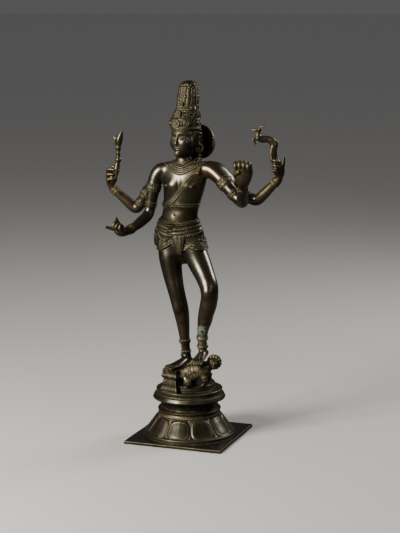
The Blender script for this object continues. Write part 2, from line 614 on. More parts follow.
def crownRelief(angle, rise):
    plaque = cell(angle, crownSize["plaques"])
    row = np.floor((rise - crownSize["curlFoot"]) / crownSize["curlTall"])
    overRow = rise - crownSize["curlFoot"] - crownSize["curlTall"] * (row + 0.5)
    curl = cell(angle, crownSize["curls"], 0.5 * row)
    height = np.maximum.reduce([
        0.9 * bump(rise - 14.4, 0.9) * beading(angle, 18),  # fringe of hair
        1.1 * bump(rise - 17, 1), 1.1 * bump(rise - 31, 1),  # the diadem's rims, beads and plaques
        0.9 * bump(rise - 19, 0.8) * beading(angle, 23), 0.9 * bump(rise - 29, 0.8) * beading(angle, 23),
        1.1 * bump(np.sqrt((plaque * 11) ** 2 + (rise - 24) ** 2), 3.4),
        0.8 * bump(np.sqrt(((np.abs(plaque) - 0.5) * 14) ** 2 + (np.abs(rise - 24) - 1.9) ** 2), 1.4),
        1.4 * snail(curl * 6.2, overRow, 2.6) * ((row == 0) | (row == 1)),
        1.2 * bump(rise - 42, 1.2) * (0.8 + 0.2 * np.cos(angle * 26)),
        1.2 * bump(rise - 50.4, 1.1) * (0.8 + 0.2 * np.cos(angle * 22)),
        0.9 * bump(rise - 44.4, 0.8) * beading(angle, 17),
        1.2 * snail(cell(angle, 9) * 11, rise - 47.4, 2.3) * (np.abs(rise - 47.4) < 2.4)])

    within = cell(angle, crownSize["strands"])  # twisted locks stand side by side
    twist = 0.5 + 0.5 * np.cos(2 * math.pi * (rise / 3.3 + within * 1.4))
    strand = np.sqrt(np.clip(1 - (within / 0.5) ** 2, 0, 1))
    shown = ease((rise - crownSize["strandFoot"]) / 1.2) * ease((crownSize["capFoot"] - 1 - rise) / 1.5)
    height = height + shown * strand * (1.0 + 0.55 * twist)
    for level in crownSize["rings"]:
        height = np.maximum(height, 2.0 * bump(rise - level, 1.5) * (0.82 + 0.18 * np.cos(angle * 18)))
    leaf, above = cell(angle, crownSize["leaves"]), rise - crownSize["capFoot"]
    return height + ease(above) * (1.1 * bump(np.abs(leaf) * 9 + above - 4.4, 1.4) + 0.5 * bump(leaf, 0.4))


def headRosette(across, forward, rise, radius, facing=0.0, **options):
    return rosette(onHead(across, forward, rise), facing - headTurn, radius, **options)


def crown():
    rows = [
        [13.2, 0, 19.9, 20.9, 21.8], [15.2, 0, 20.4, 21.4, 22.3], [16.2, 0, 21.8, 22.4, 23.2],
        [18, 0, 22, 22.4, 23.2], [30.6, 0.9, 21.8, 21.8, 23.2],
        [31.8, 2.2, 20.2, 19.8, 21.8], [36, 3.2, 20, 19.2, 21.4], [39.4, 4.1, 19, 18, 20.2], [41, 4.5, 17.9, 17, 19],
        [50, 6, 16.6, 16, 17], [52, 6.2, 15.2, 15, 15.6], [58, 6.9, 15.4, 15.2, 15.6], [66, 7.6, 14.8, 14.6, 14.8],
        [75, 8.2, 13.4, 13.2, 13.4], [81, 8.5, 11.6, 11.4, 11.4], [84.4, 8.6, 8.2, 8.2, 8.2],
        [86, 8.6, 4.4, 4.4, 4.4], [86.4, 8.6, 1.5, 1.5, 1.5]]
    pieces = [
        headStack(rows, crownRelief, blend=0.5, steps=5),
        headRosette(0, 22.2, 24.2, 6.4, thick=2.8, petals=10),
        headRosette(0, 16.6, 38.2, 4.8, thick=2.8, petals=10),
        headRosette(0, 10.8, 51.5, 4.8, thick=2.6, petals=8),
        headRosette(0, 7.6, 64, 3.2, thick=2.4, petals=6),
    ]
    for s in (-1, 1):
        pieces += [
            headRosette(s * 14.7, 16.7, 24.2, 4.6, s * 0.72, thick=2.4, petals=8),
            headRosette(s * 13.2, 11.6, 37.2, 3, s * 0.8, thick=2.6, petals=6),
            headRosette(s * 16.8, -4.6, 46, 4.4, s * 1.57, thick=3, tall=1.15, petals=8),
        ]
    return pieces


def locks():
    pieces = []
    for n in np.arange(-2.5, 3):
        def curl(arc, angle):
            return 0.7 * np.cos(arc * 1.15 + angle) + 0.25 * np.cos(6 * angle)
        pieces.append(headLimb(
            [n * 4.2, -18, 18, 3.4, 2.8], [n * 4.6, -19.4, 6, 3.5, 2.8], [n * 5.2, -18, -12, 3.2, 2.4],
            [n * 6.2, -15, -27, 2.6, 1.9], [n * 7.4, -13.6, -36, 1.8, 1.4], relief=curl, blend=0.6))
    return pieces


wheelSize = {"radius": 26, "thick": 2.4, "spokes": 10, "hub": (3, -35, -6)}


def wheel():
    def work(x, y, z, d, spot, reach):
        across, forward, rise = (value - hub for value, hub in zip(headFrame(x, y, z), wheelSize["hub"]))
        radius = np.sqrt(across ** 2 + rise ** 2) + 1e-5
        angle = np.arctan2(across, rise)
        rim = radius - wheelSize["radius"]
        off = np.abs(cell(angle, wheelSize["spokes"])) * 2 * math.pi / wheelSize["spokes"] * radius
        face = (wheelSize["thick"] / 2 - 0.5 + 1.2 * bump(off, 1.5) * (rim < -3) + 1.3 * bump(rim + 2, 2)
                + 0.6 * bump(np.sqrt((off - 3.4) ** 2 + (radius - 17.2) ** 2), 1.6)
                + 0.7 * bump(rim + 5.2, 0.9) * beading(angle, 30)
                + 2.6 * bump(radius, 5.6) + 0.8 * bump(radius - 7.4, 1.1))
        body = np.maximum(np.abs(forward) - face, rim + 0.3 + 0.3 * beading(angle, 20, 1))
        return melt(d, body, 0.6)

    middle = np.array(onHead(*wheelSize["hub"]))
    stem = headLimb([1, -16, -4, 4.4], [3, -34, -6, 3.8], blend=2)
    return [shapeIn(middle - [27, 14, 27], middle + [27, 14, 27], work, 3), stem]


# Dress and ornaments that lie on the flesh

collar = {"rings": (16.6, 20, 23.4, 26.8, 30.2, 34), "half": (1.4, 1.5, 1.5, 1.5, 1.5, 2), "lift": 1.4,
          "top": 345, "span": (316, 352), "reach": 44}


def necklaces():
    def work(x, y, z, d, spot, reach):
        across, behind = turned(x + 8, y - 1.5, -bodyTurn)
        radius = np.sqrt(across ** 2 + behind ** 2) + 1e-5
        angle = np.arctan2(across, -behind)
        back = (1 - np.cos(angle)) / 2
        drop = radius + (collar["top"] - z) * (0.9 + 0.8 * back)
        height = 0.4 * ease((collar["rings"][-1] + 1 - drop) / 1.5) * ease((drop - collar["rings"][0] + 2) / 1.5)
        for n, (ring, half) in enumerate(zip(collar["rings"], collar["half"])):
            beads = 1 if n % 2 == 0 else 0.7 + 0.3 * beading(angle, 15 + 2 * n)
            height = np.maximum(height, collar["lift"] * bump(drop - ring, half) * beads)
        inside = (z > collar["span"][0]) & (z < collar["span"][1]) & (radius < collar["reach"])
        return np.where(inside, d - height, d)
    return shapeIn([-56, -34, 314], [40, 34, 353], work, 0)


girdle = {"cords": ((242, 232.6, 2.4, 1.8), (247, 238.2, 2.2, 1.5), (252, 243.6, 2.3, 1.8), (257, 249.4, 2, 1.3)),
          "cloth": 1.7, "waist": (260.5, 253.5), "flapTop": 236, "flap": (4, 80), "swag": 226.5, "loop": 64,
          "foot": 216, "skin": 0.5}


def hemHeight(angle):
    marks = np.array([-180, -130, -80, -50, -11, 8, 20, 32, 60, 100, 140, 180])
    heights = np.array([209, 208, 209.4, 211.4, 222, 206.5, 208.5, 213.5, 215.5, 214.5, 211, 209])
    return np.interp(angle, marks, heights)


def hipCloth():
    def work(x, y, z, d, spot, reach):
        angle, radius, stretch = trunkFrame(x, y, z)
        front = ((1 + np.cos(np.radians(angle - 6))) / 2) ** 2.4
        waist = lerp(*girdle["waist"], front)
        hem = hemHeight(angle)
        d = d + girdle["skin"] * ease((z - waist - 0.2) / 1.2)  # the body's own skin shows above the waist
        flap = ease((angle - girdle["flap"][0]) / 4) * ease((girdle["flap"][1] - angle) / 8) * (z < girdle["flapTop"])
        pleat = 0.24 * np.cos((z + np.abs(angle + 6) * 0.42) * 1.9) * ease((waist - 14 - z) / 3) * (z > hem + 6)
        hemBand = 0.7 * bump(z - hem - 1.4, 1.3) + 0.5 * bump(z - hem - 4.6, 0.8)
        fold = 0.8 * bump(((angle + 200) % 17) - 8.5, 2.2) * ease((z - 208) / 16) * ease((232 - z) / 8)
        slanted = flap * (0.7 + 0.35 * np.cos((z * 0.9 + angle * 0.16) * 1.5))
        relief = girdle["cloth"] + pleat + hemBand + lerp(fold, slanted, flap)
        cloth = np.maximum(d - relief, np.maximum(hem - z, z - waist))
        dressed = np.where(stretch < 1.75, melt(d, cloth, 0.5), d)
        height = np.zeros_like(z)
        for n, (behind, ahead, half, lift) in enumerate(girdle["cords"]):
            level = lerp(behind, ahead, front)
            beads = 1 if n % 2 else 0.55 + 0.45 * beading(np.radians(angle), 26, 0.6)
            height = np.maximum(height, lift * bump(z - level, half) * beads)
        swag = girdle["swag"] + 0.011 * (((angle + 6) % girdle["loop"]) - girdle["loop"] / 2) ** 2  # loops of chain
        height = np.maximum(height, 1.2 * bump(z - swag, 1.1) * (z < girdle["flapTop"]) * (1 - flap))
        above = z - girdle["foot"]
        return np.where((stretch < 1.6) & (above > 0), dressed - height * ease(above / 4), dressed)
    return shapeIn([-72, -48, 200], [48, 36, 264], work, 0)


bandSize = {"edges": (281, 277.4), "middle": 279.2, "half": 2.4, "lift": 0.9, "ground": 0.4}


def bellyBand():
    def work(x, y, z, d, spot, reach):
        angle, radius, stretch = trunkFrame(x, y, z)
        upper, lower = (bandSize["lift"] * bump(z - level, 1) for level in bandSize["edges"])
        height = np.maximum(upper, lower) + bandSize["ground"] * bump(z - bandSize["middle"], bandSize["half"])
        return np.where(stretch < 1.25, d - height, d)
    return shapeIn([-50, -26, 273], [28, 24, 285], work, 0)


def clasps():
    pieces = []
    for n, z in enumerate((249.4, 242, 235)):
        x, y, _ = onTrunk(-4, z, 2)
        pieces += [egg([x, y, z], [9.5 - n, 3, 2.9], -bodyTurn, blend=0.6),
                   egg([x, y - 2, z], [6 - n, 2, 1.3], -bodyTurn, blend=0.3)]
    apron = [[-9, -23, 234, 10.5, 2.2], [-8, -24, 223, 8.2, 2.4], [-6.4, -23.8, 212, 4.8, 2.3],
             [-5.4, -22.6, 206, 1.6, 1.6]]
    tail = [[-12, 22, 242, 8, 4], [-12, 26, 222, 6.5, 4], [-12, 22, 206, 4, 2.6]]
    fold = lambda arc, angle: 0.5 * np.cos(angle * 10)
    pieces += [limb(apron, relief=fold, blend=0.8), limb(tail, relief=fold, blend=1)]
    for s, angle in ((-1, -68), (1, 84)):  # knotted ends at the hips
        x, y, _ = onTrunk(angle, 238, 1)
        pieces += [egg([x, y, 240], [4, 4, 4], blend=1.2),
                   limb([[x, y, 238, 3.4, 2], [x + s * 1.2, y - 0.6, 227, 3.8, 2], [x + s * 1.4, y, 217, 3, 1.5]],
                        relief=fold, blend=1.6)]
    return pieces


thread = {"strands": (-2.1, 0, 2.1), "thick": 1.25, "lift": 0.6, "under": 8}


def sacredThread():
    path = [(66, 337), (50, 329), (36, 325), (25, 319.5), (14, 309.5), (0, 296), (-18, 285), (-44, 279), (-78, 278.5),
            (-120, 287), (-160, 303), (-205, 320), (-240, 333)]
    spots = np.array([onTrunk(angle, z) for angle, z in path])
    pieces = []
    for strand in thread["strands"]:
        rows = []
        for i, (angle, z) in enumerate(path):
            ahead, before = spots[min(i + 1, len(path) - 1)], spots[max(i - 1, 0)]
            out = spots[i] - onTrunk(angle, z, -thread["under"])
            side = np.cross(out, ahead - before)
            side /= np.linalg.norm(side)
            rows.append([*(spots[i] + side * strand + out / thread["under"] * thread["lift"]), thread["thick"]])
        pieces.append(limb(rows, blend=0.4, steps=8))
    x, y, z = onTrunk(48, 328.4, 0.4)
    return pieces + [egg([x, y, z], [4.2, 2.4, 3.4], -0.5, blend=0.5),
                     egg([x + 0.4, y - 1.4, z], [2.4, 1.6, 2], -0.5, blend=0.3)]


def bodyMarks():
    pieces = []
    for angle in (-34, 34):
        x, y, z = onTrunk(angle, 308.5, -0.2)
        facing = math.radians(angle) - bodyTurn
        pieces += [rosette([x, y, z], facing, 2.6, petals=10, thick=1.1, blend=0.8),
                   egg([x + 0.8 * math.sin(facing), y - 0.8, z], [0.9, 0.9, 0.9], blend=0.4)]
    x, y, z = onTrunk(-2, 265, 0.8)
    return pieces + [egg([x, y, z], [1.1, 1.6, 0.9], blend=1.8, cut=True)]


# The dwarf, the block and the seat

def dwarf():
    across = (0, 1, 0)
    bodyRows = [[2, -28, 25, 8, 8], [8, -29, 29, 11.5, 12], [20, -29, 33, 12.4, 12.4], [32, -27, 37, 11, 11],
                [39, -24, 41, 8, 8]]
    sash = together(ringBand(16, 3, 1.2, beads=16), ringBand(21, 2, 1, twist=14))
    pieces = [limb(bodyRows, across=across, relief=sash, blend=2)]
    for stations in (
            [[6, -34, 24, 6.5], [12, -38, 15, 5.6], [10, -33, 11.8, 4.2], [-4, -24, 11.6, 3]],
            [[6, -18, 24, 6.2], [13, -10, 15, 5.2], [2, -6, 11.8, 3.4]],
            [[34, -33, 34, 5.2], [37, -33, 23, 4.2], [33, -22, 12.2, 3.2]],
            [[34, -16, 34, 5], [36, -10, 22, 4], [31, -6, 12.2, 3.2]]):
        arcAt = limb(stations, across=across)["arcAt"]
        pieces.append(limb(stations, across=across, relief=ringBand(arcAt(0.75), 2.6, 0.9, beads=12), blend=1.5))
    pieces += [
        egg([46, -22.5, 45], [8.6, 8.6, 9.2], blend=2), curlCap([46.8, -19, 46.6], [10.2, 8, 10.2]),
        egg([48.8, -29.2, 40.6], [3.2, 2.4, 2.6], blend=2), egg([50.4, -31, 44], [1.3, 1.6, 1.4], blend=0.8),
        limb([[50.2, -30.4, 48.4, 0.9], [50.6, -30.8, 45.4, 1]], blend=0.8),
        limb([[46.6, -31.2, 40.8, 0.5], [49, -31.8, 40.4, 0.8], [51.4, -30.8, 40.8, 0.5]], blend=0.4),
        egg([47.2, -30.2, 46.6], [1.9, 1.2, 1.1], blend=0.4), egg([53, -28, 46.6], [1.5, 1.5, 1.1], blend=0.4),
        limb([[44.8, -29.8, 48, 0.6], [47.2, -30.6, 49.2, 0.8], [49.4, -30.2, 48.4, 0.6]], blend=0.6),
        egg([39.4, -25.6, 43.6], [1.8, 2.4, 3.6], blend=0.8), egg([39, -27, 39], [2, 2, 2.2], blend=0.4),
        limb([[33, -33, 33, 1.6], [37, -35, 33, 1.8], [41.5, -34, 36, 1.6]],
             relief=ringBand(3, 8, 0.5, beads=8), blend=0.8),
    ]
    for x, y, heading in ((-5, -24, -0.4), (1, -5, 0.2), (32, -21, 0.6), (30, -5, 0.3)):  # small hands and feet
        for n in (-1, 0, 1):
            tipRow = [x - 4 + abs(n), y + n * 2.2 - heading * 2, 10.6, 1.3]
            pieces.append(limb([[x, y, 11.4, 2.2], tipRow], blend=0.8))
    return pieces


capSize = {"row": 5, "curls": 12, "lift": 1.5, "edge": 5.5}


def curlCap(centre, half):
    def work(x, y, z, d, spot, reach):
        across, deep, rise = x - centre[0], y - centre[1], z - centre[2]
        row = np.floor(deep / capSize["row"])
        turn = cell(np.arctan2(rise, across), capSize["curls"], 0.5 * row)
        curl = snail(turn * 5.2, deep - capSize["row"] * (row + 0.5), 2.6)
        off = ellipsoid(across, deep, rise, half) - capSize["lift"] * curl
        return melt(d, np.maximum(off, -deep - capSize["edge"]), 0.8)
    return shapeIn(np.array(centre) - max(half), np.array(centre) + max(half), work, 3)


blockSize = {"wide": 25, "long": 50, "flare": 1.6, "middle": (-9, -19), "sole": 35}


def block():
    turn = math.atan2(19, 60)
    shares = np.array([0, 0.14, 0.25, 0.58, 0.67, 0.75, 0.8, 1])
    flares = np.array([1.9, 1.9, 0.5, -0.5, 1, 1, 0.1, 0.3])

    def work(x, y, z, d, spot, reach):
        across, along = turned(x - blockSize["middle"][0], y - blockSize["middle"][1], -turn)
        share = (z + 1) / (blockSize["sole"] + 1)
        flare = np.interp(share, shares, flares) * blockSize["flare"]
        for lift, level, half in ((0.5, 0.71, 0.03), (-0.5, 0.61, 0.015), (-0.4, 0.19, 0.012)):
            flare = flare + lift * bump(share - level, half)
        run = np.where(np.abs(across) / blockSize["wide"] > np.abs(along) / blockSize["long"], along, across)
        leaf = 0.5 * beading(run, 0.62) * bump(share - 0.41, 0.11)
        off = np.maximum(np.abs(across) - blockSize["wide"] / 2, np.abs(along) - blockSize["long"] / 2 + flare * 0.3)
        off = np.maximum(off - flare - leaf, np.maximum(z - blockSize["sole"], -z - 3))
        return melt(d, off, 1)
    return shapeIn([-42, -58, -4], [24, 20, 37], work, 3)


def seatBody():
    def work(x, y, z, d, spot, reach):
        radius = np.sqrt(x * x + y * y)
        angle = np.arctan2(x, -y)
        lip = -seat["drumHeight"] - seat["rimHeight"] * 0.7
        rim = radius - seat["rimRadius"] + 0.2 + seat["bulge"] * np.abs(z - lip) ** 1.1
        rim = np.maximum(rim, np.maximum(z + seat["drumHeight"], -z - seat["drumHeight"] - seat["rimHeight"]))
        groove = 0.6 * bump(z + 5.6, 0.8) - 0.5 * bump(z + 1.2, 1.1)
        drum = np.maximum(radius - seat["drumRadius"] + groove, np.maximum(z, -z - 9))
        step = radius - seat["stepRadius"] + 0.5 * bump(z - 5.5, 0.9)
        step = np.maximum(step, np.maximum(z - seat["stepHeight"], -z - 2))
        body = melt(melt(rim, drum, 1.2), step, 1.2)
        dint = 0.12 * np.sin(angle * 7 + z * 0.2) + 0.08 * np.sin(angle * 17 + 1)  # hand-worked wax is never true
        return melt(d, body - dint, 2)
    return shapeIn([-57, -57, -17], [57, 57, 11], work, 2)


def footPlane():
    level = pedestalTop - poseFoot

    def work(x, y, z, d, spot, reach):
        return np.maximum(d, level - z)
    return shapeIn([-60, -60, level - 4], [60, 60, level + 2], work, 0)


# Sculpting: blocks of the field near the surface go into one sparse volume, and a mesh is drawn from it

clay = {"far": 60.0, "side": 16, "chunk": 6, "band": 3, "near": 1.6, "diagonal": 1.74, "own": 0.3}


def flat(shapes):
    return [shape for item in shapes for shape in (flat(item) if isinstance(item, list) else [item])]


def field(shapes, lows, highs, x, y, z, spot, reach):
    d = np.full_like(x, clay["far"])
    touched = np.all((lows < spot + reach) & (highs > spot - reach), axis=1)
    for i in np.nonzero(touched)[0]:
        d = shapes[i]["work"](x, y, z, d, spot, reach)
    return d


def sculpt(shapes, low, high, voxel):
    side, keep = clay["side"], clay["band"] * voxel
    size, reach = side * voxel, clay["chunk"] * side * voxel
    nearby = size * clay["near"]
    shapes = flat(shapes)
    lows = np.array([shape["low"] for shape in shapes])
    highs = np.array([shape["high"] for shape in shapes])
    low, high = np.array(low, float) - 2 * voxel, np.array(high, float) + 2 * voxel
    counts = np.ceil((high - low) / size).astype(int)
    corners = np.stack(np.meshgrid(*[np.arange(n) for n in counts], indexing="ij"), -1).reshape(-1, 3)
    centres = low + (corners + 0.5) * size
    coarse = np.full(len(centres), clay["far"])
    groups = (corners // clay["chunk"]) @ np.array([1, 1000, 1000000])
    for group in np.unique(groups):
        rows = np.nonzero(groups == group)[0]
        spot = (centres[rows].min(0) + centres[rows].max(0)) / 2
        coarse[rows] = field(shapes, lows, highs, *centres[rows].T, spot, reach)
    grid = vdb.FloatGrid(keep)
    offsets = np.arange(side) * voxel
    dx, dy, dz = (axis.astype(np.float32).ravel() for axis in np.meshgrid(offsets, offsets, offsets, indexing="ij"))
    half = size / 2
    for corner, centre, guess in zip(corners, centres, coarse):
        first = corner * side
        last = first + side - 1
        inside = tuple(int(v) for v in first), tuple(int(v) for v in last)
        if abs(guess) >= nearby:
            if guess < 0:
                grid.fill(inside[0], inside[1], -keep, active=False)
            continue
        start = centre - half
        values = field(shapes, lows, highs, dx + np.float32(start[0]), dy + np.float32(start[1]),
                       dz + np.float32(start[2]), centre, half * clay["diagonal"])
        if values.min() > keep:
            continue
        if values.max() < -keep:
            grid.fill(inside[0], inside[1], -keep, active=False)
            continue
        values = np.clip(values, -keep, keep).astype(np.float32).reshape(side, side, side)
        grid.copyFromArray(values, ijk=inside[0])
    print("sculpted", int((np.abs(coarse) < nearby).sum()), "blocks of", len(centres))
    points, triangles, quads = grid.convertToPolygons(isovalue=0.0, adaptivity=0.0)
    return points.astype(float) * voxel + low, triangles, quads


def facing(points, faces):
    a, b, c = (points[faces[:, k]] for k in range(3))
    area = np.cross(b - a, c - a)
    normal = np.stack([np.bincount(faces.ravel(), np.repeat(area[:, axis], 3), len(points)) for axis in range(3)], 1)
    return normal / (np.linalg.norm(normal, axis=1)[:, None] + 1e-9), (a * area).sum()


def settled(values, faces, rounds):
    starts, ends = faces[:, [0, 1, 2]].ravel(), faces[:, [1, 2, 0]].ravel()
    count = len(values)
    valence = np.bincount(ends, minlength=count) + 1e-9
    for _ in range(rounds):
        for axis in range(values.shape[1]):
            near = np.bincount(ends, values[starts, axis], count) / valence
            values[:, axis] = values[:, axis] * clay["own"] + near * (1 - clay["own"])
    return values


finish = {"voxel": 0.5, "rounds": (2.2, 24), "ridge": 0.16, "swell": 1.0, "detail": 0.05, "filed": (0.024, 0.012),
          "quick": 2.2}


def castMesh(name, shapes, low, high, voxel, mostTriangles):
    offset = np.array([0, 0, poseFoot if name != "lotus_stand" else 0])
    points, triangles, quads = sculpt(shapes, low - offset, high - offset, voxel)
    points = points + offset
    faces = np.vstack([triangles, quads[:, [0, 1, 2]], quads[:, [0, 2, 3]]]).astype(int)
    normal, volume = facing(points, faces)
    if volume < 0:
        faces, normal = faces[:, ::-1], -normal
    rounds = np.array(finish["rounds"]) / (voxel / finish["voxel"]) ** 2
    soft = settled(points.copy(), faces, max(1, round(rounds[0])))
    ridge = ((points - soft) * normal).sum(1)
    softer = settled(soft.copy(), faces, round(rounds[1]))
    swell = ((points - softer) * normal).sum(1)
    detail = settled(np.abs(ridge)[:, None], faces, round(rounds[1]))[:, 0]
    start, span = finish["filed"]
    points = lerp(points, softer, ease((start - detail) / span)[:, None])  # plain flesh is filed smooth
    print(name, len(faces), "triangles before thinning")

    mesh = bpy.data.meshes.new(name)
    mesh.vertices.add(len(points))
    mesh.vertices.foreach_set("co", (points * mm).astype(np.float32).ravel())
    mesh.loops.add(faces.size)
    mesh.loops.foreach_set("vertex_index", faces.astype(np.int32).ravel())
    mesh.polygons.add(len(faces))
    mesh.polygons.foreach_set("loop_start", np.arange(0, faces.size, 3, dtype=np.int32))
    mesh.update(calc_edges=True)
    masks = {"ridge": 0.5 + 0.5 * ridge / finish["ridge"], "swell": 0.5 + 0.5 * swell / finish["swell"],
             "detail": detail / finish["detail"]}
    for key, mask in masks.items():
        layer = mesh.attributes.new(key, "FLOAT", "POINT")
        layer.data.foreach_set("value", np.clip(mask, 0, 1).astype(np.float32))
    piece = bpy.data.objects.new(name, mesh)
    bpy.context.scene.collection.objects.link(piece)
    thin = piece.modifiers.new("thin", "DECIMATE")
    thin.ratio = min(1, mostTriangles / len(faces))
    lean = bpy.data.meshes.new_from_object(piece.evaluated_get(bpy.context.evaluated_depsgraph_get()))
    piece.modifiers.clear()
    piece.data = lean
    bpy.data.meshes.remove(mesh)
    lean.name = name
    lean.shade_smooth()
    print(name, len(lean.polygons), "faces")
    return piece


def grain(fine):
    return fine


# The casting is sculpted in four lengths that meet under the collar, the girdle and the feet
soleRow = blockSize["sole"]
castings = {
    "figure_head": {"shapes": [face(), crown(), locks(), wheel()], "voxel": 0.38, "most": 195000,
                    "low": [-45, -45, 336], "high": [40, 50, 466]},
    "figure_body": {"shapes": [torso(245, 345.5), arms(), bellyBand(), bodyMarks(), sacredThread(), necklaces(),
                               pointingHand(), closedHand(), axeHand(), axe(), antelopeHand(), antelope()],
                    "voxel": 0.5, "most": 195000, "low": [-138, -90, 236], "high": [152, 40, 402]},
    "figure_legs": {"shapes": [torso(190, 258), legs(), foot([-1.5, 6, soleRow], [-20, -51, soleRow], 1),
                               foot([28, -6, 52], [28.5, -64, 47], -1), hipCloth(), clasps()],
                    "voxel": 0.5, "most": 195000, "low": [-62, -76, 30], "high": [60, 40, 264]},
    "figure_seat": {"shapes": [seatBody(), block(), dwarf(), footPlane()], "voxel": 0.6, "most": 170000,
                    "low": [-58, -60, -18], "high": [62, 58, 62]},
}
figurePieces, lift = [], np.array([0, 0, poseFoot])
for name, cast in castings.items():
    low, high = np.array(cast["low"]) + lift, np.array(cast["high"]) + lift
    figurePieces.append(castMesh(name, cast["shapes"], low, high, grain(cast["voxel"]), cast["most"]))


# Pedestal

base = {"plate": 155, "plateThick": 5, "ringRadius": 70, "ringHeight": 6, "lotusFoot": 66, "lotusTop": 46,
        "lotusHeight": 32, "petals": 10, "petalTurn": math.radians(22), "relief": 4.4, "collar": 3.2, "collarLip": 2,
        "neckRadius": 43.5, "neckFlare": 2, "voxel": 0.55, "most": 150000}


def plateBody():
    half, thick = base["plate"] / 2, base["plateThick"]

    def work(x, y, z, d, spot, reach):
        wave = 0.25 * np.sin(x * 0.05 + 1) * np.sin(y * 0.043)
        side = np.maximum(np.abs(x), np.abs(y)) - half + 0.35 + 0.25 * np.abs(np.sin(x * 0.031 + y * 0.027))
        slant = (side + z - thick) * 0.7 + 0.9
        body = np.maximum(np.maximum(side, z - thick - wave * 0.5), np.maximum(slant, -z))
        return melt(d, body, 0.4)
    return shapeIn([-half, -half, 0], [half, half, thick + 1], work, 2)


def lotusRadius(angle, share):
    turn = ((angle - base["petalTurn"]) * base["petals"] / (2 * math.pi)) % 1
    across = np.abs(turn * 2 - 1)
    far = (across / 0.95) ** 3 + np.abs((share - 0.63) / 0.41) ** 3
    inside = far < 1
    edge = np.cbrt(far)
    petal = 0.4 + 0.52 * np.sqrt(np.clip(1 - far ** 1.2, 0, 1)) + 0.06 * bump(edge - 0.88, 0.05)
    petal = petal - 0.05 * bump(edge - 0.76, 0.04) + 0.06 * bump(across, 0.05) * ease((0.9 - share) / 0.2)
    ribs = 0.06 * np.cos(turn * 2 * math.pi * 12) * ease((0.36 - share) / 0.05) * ease((share - 0.1) / 0.04)
    ground = 0.14 + 0.36 * ease((0.26 - share) / 0.1) + ribs
    reach = 0.62 * np.clip(share - 0.08, 0.001, 1)  # pointed petals behind, each under a gap
    gap = (1 - across) / reach
    pointed = np.where(gap < 1, 0.38 + 0.12 * bump(gap - 0.84, 0.14) + 0.1 * bump(gap, 0.2), 0)
    lift = np.where(inside, petal, np.maximum(ground, pointed)) - 0.5
    return lerp(base["lotusTop"], base["lotusFoot"], np.clip(share, 0, 1) ** 1.35) + base["relief"] * lift


def lotusBody():
    foot = base["plateThick"] + base["ringHeight"]
    top = foot + base["lotusHeight"]

    def work(x, y, z, d, spot, reach):
        radius, angle = np.sqrt(x * x + y * y), np.arctan2(x, -y)
        roll = np.clip(z - foot + 2, 0, None) ** 2 * 0.35
        bead = 0.03 * beading(angle, 44, 1)
        ring = np.maximum(radius - base["ringRadius"] + roll + bead, np.maximum(z - foot, 3 - z))
        share = (top - z) / base["lotusHeight"]
        bell = (radius - lotusRadius(angle, share)) * 0.8
        bell = np.maximum(bell, np.maximum(z - top, foot - 2 - z))
        lipMiddle = top + base["collar"] / 2
        lip = np.sqrt(np.clip(radius - base["lotusTop"], 0, None) ** 2 + (z - lipMiddle) ** 2) - base["collarLip"]
        neckTop = top + base["collar"]
        ends = np.minimum(z - neckTop, pedestalTop - z) / base["neckFlare"]
        flare = base["neckFlare"] * np.clip(1 - ends, 0, 1) ** 2
        lines = 0.5 * bump(z - neckTop - 3.6, 0.7) + 0.4 * bump(z - pedestalTop + 3.4, 0.6)
        neck = np.maximum(radius - base["neckRadius"] - flare + lines, np.maximum(z - pedestalTop, foot - z))
        body = melt(melt(melt(ring, bell, 0.8), lip, 0.8), neck, 0.8)
        dint = 0.12 * np.sin(angle * 5 + z * 0.11) + 0.08 * np.sin(angle * 13 + 2)
        return melt(d, body - dint, 1)
    return shapeIn([-72, -72, 2], [72, 72, pedestalTop + 1], work, 2)


def levelEnds():
    def work(x, y, z, d, spot, reach):
        return np.maximum(d, np.maximum(0.02 - z, z - pedestalTop + 0.02))
    return shapeIn([-80, -80, -4], [80, 80, pedestalTop + 4], work, 0)


pedestal = castMesh("lotus_stand", [plateBody(), lotusBody(), levelEnds()], pedestalLow, pedestalHigh,
                    grain(base["voxel"]), base["most"])


# Materials

def newMaterial(name):
    material = bpy.data.materials.new(name)
    material.use_nodes = True
    material.node_tree.nodes.clear()
    return material, material.node_tree


def feed(tree, socket, value):
    if isinstance(value, bpy.types.NodeSocket):
        tree.links.new(value, socket)
    else:
        socket.default_value = value


def addNode(tree, kind, **values):
    node = tree.nodes.new(kind)
    for key, value in values.items():
        if hasattr(node, key):
            setattr(node, key, value)
        else:
            feed(tree, node.inputs[key.replace("_", " ")], value)  # sockets start with a capital letter
    return node


def groupTree(name, inputs, outputs):
    tree = bpy.data.node_groups.new(name, "ShaderNodeTree")
    for socket, value in inputs.items():
        made = tree.interface.new_socket(name=socket, in_out="INPUT", socket_type="NodeSocketFloat")
        made.default_value = value
    for socket in outputs:
        tree.interface.new_socket(name=socket, in_out="OUTPUT", socket_type="NodeSocketFloat")
    return tree, tree.nodes.new("NodeGroupInput"), tree.nodes.new("NodeGroupOutput")


def stepNode(tree, kind, operation, *values, **settings):
    node = addNode(tree, kind, operation=operation, **settings)
    for socket, value in zip(node.inputs, values):
        feed(tree, socket, value)
    return node


def mathNode(tree, operation, a, b, clamp=False):
    return stepNode(tree, "ShaderNodeMath", operation, a, b, use_clamp=clamp).outputs[0]


def maths(tree):
    def step(operation):
        return lambda a, b, clamp=False: mathNode(tree, operation, a, b, clamp)
    return [step(operation) for operation in ("MULTIPLY", "ADD", "SUBTRACT", "MAXIMUM")]


def spread(tree, value, low, high):
    return addNode(tree, "ShaderNodeMapRange", interpolation_type="SMOOTHSTEP", Value=value,
                   From_Min=low, From_Max=high).outputs["Result"]


